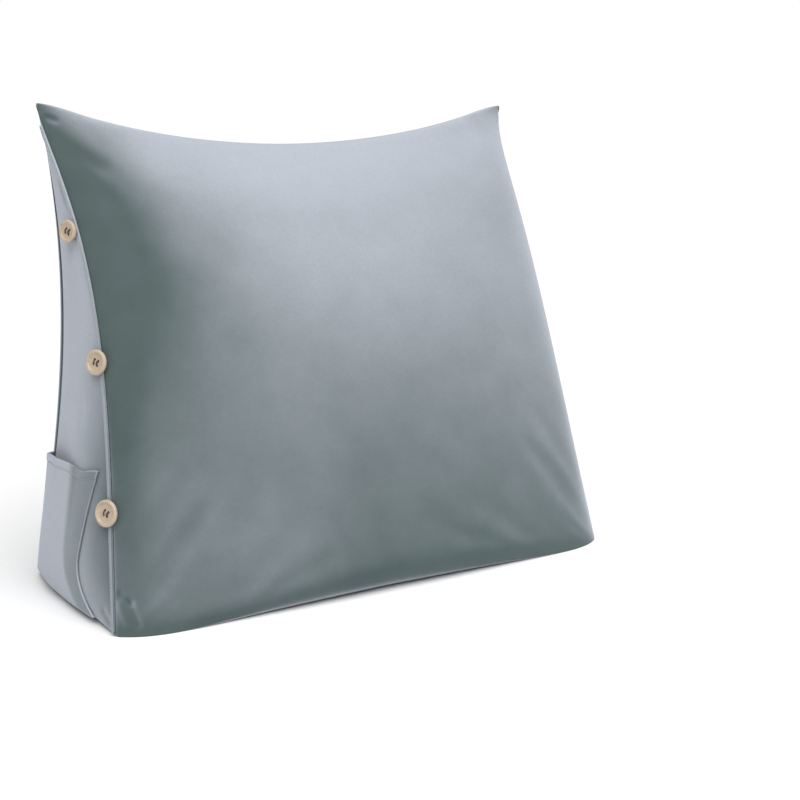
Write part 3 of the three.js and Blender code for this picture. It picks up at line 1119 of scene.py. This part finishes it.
def build_button(node, index, settings, finish):
    outline = button_profile(settings, BUTTONS[node])
    bm = bmesh.new()
    section = [bm.verts.new((radius, 0, along)) for radius, along in outline]
    edges = [bm.edges.new(pair) for pair in zip(section, section[1:])]
    bmesh.ops.spin(
        bm, geom=section + edges, cent=(0, 0, 0), axis=(0, 0, 1), angle=2 * math.pi,
        steps=96, use_merge=True, use_duplicate=False,
    )
    bmesh.ops.remove_doubles(bm, verts=bm.verts, dist=WELD["button"])
    bmesh.ops.recalc_face_normals(bm, faces=bm.faces)
    name = f"wood_{node}"
    piece = to_piece(name, bm, turned_wood(f"{node}_wood", finish, index))

    bm = bmesh.new()
    for x, y in hole_places(settings):
        bmesh.ops.create_cone(
            bm, cap_ends=True, segments=24, radius1=settings.hole, radius2=settings.hole,
            depth=settings.thickness * 4, matrix=Matrix.Translation((x, y, 0)),
        )
    drill = to_piece(f"{name}_drill", bm, piece.data.materials[0])
    cut = piece.modifiers.new("holes", "BOOLEAN")
    cut.operation = "DIFFERENCE"
    cut.solver = "EXACT"
    cut.object = drill
    soft = piece.modifiers.new("soft edges", "BEVEL")
    soft.width = BUTTON["bevel"]
    soft.segments = 2
    soft.limit_method = "ANGLE"
    soft.angle_limit = math.radians(50)
    applied(piece)
    bpy.data.objects.remove(drill)
    place = button_frame(node) @ Matrix.Rotation(settings.turn, 4, "Z")
    piece.data.transform(place)
    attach(piece, BODY)
    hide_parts(node)
    return place


def strand(path, radius):
    """A round strand of thread along a few points, as a mesh."""
    curve = bpy.data.curves.new("strand", "CURVE")
    curve.dimensions = "3D"
    curve.bevel_depth = radius
    curve.bevel_resolution = 2
    curve.resolution_u = 6
    curve.use_fill_caps = True
    spline = curve.splines.new("NURBS")
    spline.points.add(len(path) - 1)
    for point, place in zip(spline.points, path):
        point.co = (*place, 1)
    spline.order_u = 4
    spline.use_endpoint_u = True
    holder = link("strand", curve)
    mesh = bpy.data.meshes.new_from_object(evaluated(holder))
    bpy.data.objects.remove(holder)
    bpy.data.curves.remove(curve)
    return mesh


def build_button_thread(node, place, settings, material):
    """Two upright stitches through the four holes, the right one drawn to the middle."""
    space = settings.hole_spacing
    floor = settings.thickness - settings.dish
    bm = bmesh.new()
    for side, lean, lays in BUTTON_STITCHES:
        for lay in lays:
            x = side * space + lay * settings.thread * 1.3
            high = floor + settings.thread * (0.8 + 0.4 * abs(lay))
            mesh = strand([
                (x, space, -0.0004),
                (x, space + 0.0002, floor - 0.0008),
                (x, space + 0.0001, high + 0.0002),
                (x + lean, 0.0004 * lay, high + 0.0002),
                (x, -space - 0.0001, high + 0.0002),
                (x, -space - 0.0002, floor - 0.0008),
                (x, -space, -0.0004),
            ], settings.thread)
            bm.from_mesh(mesh)
            bpy.data.meshes.remove(mesh)
    bmesh.ops.transform(bm, matrix=place, verts=bm.verts)
    piece = to_piece(f"{node}_thread", bm, material)
    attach(piece, BODY)


class PILLOW_OT_buttons(bpy.types.Operator):
    """Turns the wooden buttons and sews them on"""

    bl_idname = "pillow.buttons"
    bl_label = "Buttons"

    def execute(self, context):
        settings = context.scene.pillow_buttons
        finish = context.scene.pillow_finish
        material = thread("button_thread", finish.button_thread)
        for index, node in enumerate(BUTTONS):
            place = build_button(node, index, settings, finish)
            build_button_thread(node, place, settings, material)
        return {"FINISHED"}


class StageSettings(bpy.types.PropertyGroup):
    azimuth: FloatProperty(
        name="Azimuth", description="Of the camera, from the front to the right",
        default=math.radians(-32.6), subtype="ANGLE",
    )
    elevation: FloatProperty(
        name="Elevation", description="Of the camera", default=math.radians(11.34),
        subtype="ANGLE",
    )
    distance: in_metres("Distance", 1.6575, "From the camera to the point it looks at")
    target: FloatVectorProperty(
        name="Target", description="The point that the camera looks at",
        default=(0.08964, -0.01815, 0.18057), subtype="TRANSLATION",
    )
    lens: FloatProperty(name="Lens", description="Focal length in mm", default=63.378)
    paper: FloatVectorProperty(
        name="Paper", description="Colour of the floor", subtype="COLOR",
        default=(0.9, 0.9, 0.9),
    )
    floor_radius: in_metres("Floor radius", 30.0, "Of the flat floor")
    overhead: FloatProperty(
        name="Overhead light", description="Watts on a square metre", default=3.5
    )
    side_light: FloatProperty(
        name="Side light", description="Power in watts", default=5.0
    )
    sky: FloatProperty(
        name="Sky", description="Strength of the all-round light", default=0.25
    )


def aim(holder, azimuth, elevation, distance, middle):
    """Moves a lamp or camera away from a point, around and up, and turns it to look there."""
    flat = math.cos(elevation)
    away = Vector((math.sin(azimuth) * flat, -math.cos(azimuth) * flat, math.sin(elevation)))
    holder.location = Vector(middle) + away * distance
    holder.rotation_mode = "QUATERNION"
    holder.rotation_quaternion = (-away).to_track_quat("-Z", "Y")


def side_light(power):
    """A large square lamp from behind on the left."""
    lamp = bpy.data.lights.new("side", "AREA")
    lamp.shape = "SQUARE"
    lamp.size = SIDE_LAMP["size"]
    lamp.energy = power
    lamp.color = SIDE_LAMP["tint"]
    around, up = math.radians(SIDE_LAMP["azimuth"]), math.radians(SIDE_LAMP["elevation"])
    aim(link("side", lamp), around, up, SIDE_LAMP["distance"], (0, 0, HEIGHT / 2))


def overhead_light(power):
    """A wide soft light from above and a little to the left of the front."""
    lamp = bpy.data.lights.new("overhead", "SUN")
    lamp.energy = power
    lamp.angle = math.radians(OVERHEAD_LAMP["spread"])
    around, up = math.radians(OVERHEAD_LAMP["azimuth"]), math.radians(OVERHEAD_LAMP["elevation"])
    aim(link("overhead", lamp), around, up, OVERHEAD_LAMP["distance"], (0, 0, 0))


def white_surround(strength):
    """A sky that lights the pillow softly and is seen as white."""
    world = bpy.data.worlds.new("surround")
    world.use_nodes = True
    tree = world.node_tree
    sky = tree.nodes["Background"]
    sky.inputs["Color"].default_value = (1, 1, 1, 1)
    seen = tree.nodes.new("ShaderNodeLightPath").outputs["Is Camera Ray"]
    either = tree.nodes.new("ShaderNodeMapRange")
    either.inputs["To Min"].default_value = strength
    either.inputs["To Max"].default_value = 1.0
    tree.links.new(seen, either.inputs["Value"])
    tree.links.new(either.outputs["Result"], sky.inputs["Strength"])
    return world


def build_backdrop(settings):
    """One wide round sheet of pale paper."""
    bm = bmesh.new()
    bmesh.ops.create_circle(bm, cap_ends=True, segments=96, radius=settings.floor_radius)
    shade = Shade("paper")
    fibres = shade.noise(shade.place(), 60.0)
    tone = shade.mix(fibres, colour(settings.paper, 0.99), colour(settings.paper, 1.0))
    paper = to_piece("backdrop", bm, shade.finish(base_color=tone, roughness=0.8))


def build_camera(settings):
    lens = bpy.data.cameras.new("camera")
    lens.sensor_width = 36
    lens.lens = settings.lens
    lens.clip_start = 0.05
    lens.clip_end = 100
    camera = link("camera", lens)
    aim(camera, settings.azimuth, settings.elevation, settings.distance, settings.target)
    bpy.context.scene.camera = camera


class PILLOW_OT_stage(bpy.types.Operator):
    """Sets the floor, the lights and the camera"""

    bl_idname = "pillow.stage"
    bl_label = "Stage"

    def execute(self, context):
        settings = context.scene.pillow_stage
        build_backdrop(settings)
        build_camera(settings)
        overhead_light(settings.overhead)
        side_light(settings.side_light)
        context.scene.world = white_surround(settings.sky)
        context.scene.view_settings.view_transform = "Standard"
        return {"FINISHED"}


class PILLOW_PT_pieces(bpy.types.Panel):
    """Lists the pieces in the sidebar"""

    bl_idname = "PILLOW_PT_pieces"
    bl_label = "Backrest pillow"
    bl_space_type = "VIEW_3D"
    bl_region_type = "UI"
    bl_category = "Pillow"

    def draw(self, context):
        for operator in OPERATORS:
            self.layout.operator(operator.bl_idname)


SETTINGS = {
    "pillow_cushion": CushionSettings,
    "pillow_strip": StripSettings,
    "pillow_pocket": PocketSettings,
    "pillow_buttons": ButtonSettings,
    "pillow_stage": StageSettings,
    "pillow_finish": FinishSettings,
}
OPERATORS = (
    PILLOW_OT_cushion,
    PILLOW_OT_placket,
    PILLOW_OT_pocket,
    PILLOW_OT_buttons,
    PILLOW_OT_stage,
)


def register():
    for kind in (*SETTINGS.values(), *OPERATORS, PILLOW_PT_pieces):
        bpy.utils.register_class(kind)
    for name, kind in SETTINGS.items():
        setattr(bpy.types.Scene, name, PointerProperty(type=kind))


def unregister():
    for name in SETTINGS:
        delattr(bpy.types.Scene, name)
    for kind in (PILLOW_PT_pieces, *OPERATORS, *SETTINGS.values()):
        bpy.utils.unregister_class(kind)


def main():
    register()
    bpy.ops.pillow.cushion()
    bpy.ops.pillow.placket()
    bpy.ops.pillow.pocket()
    bpy.ops.pillow.buttons()
    bpy.ops.pillow.stage()


if __name__ == "__main__":
    main()
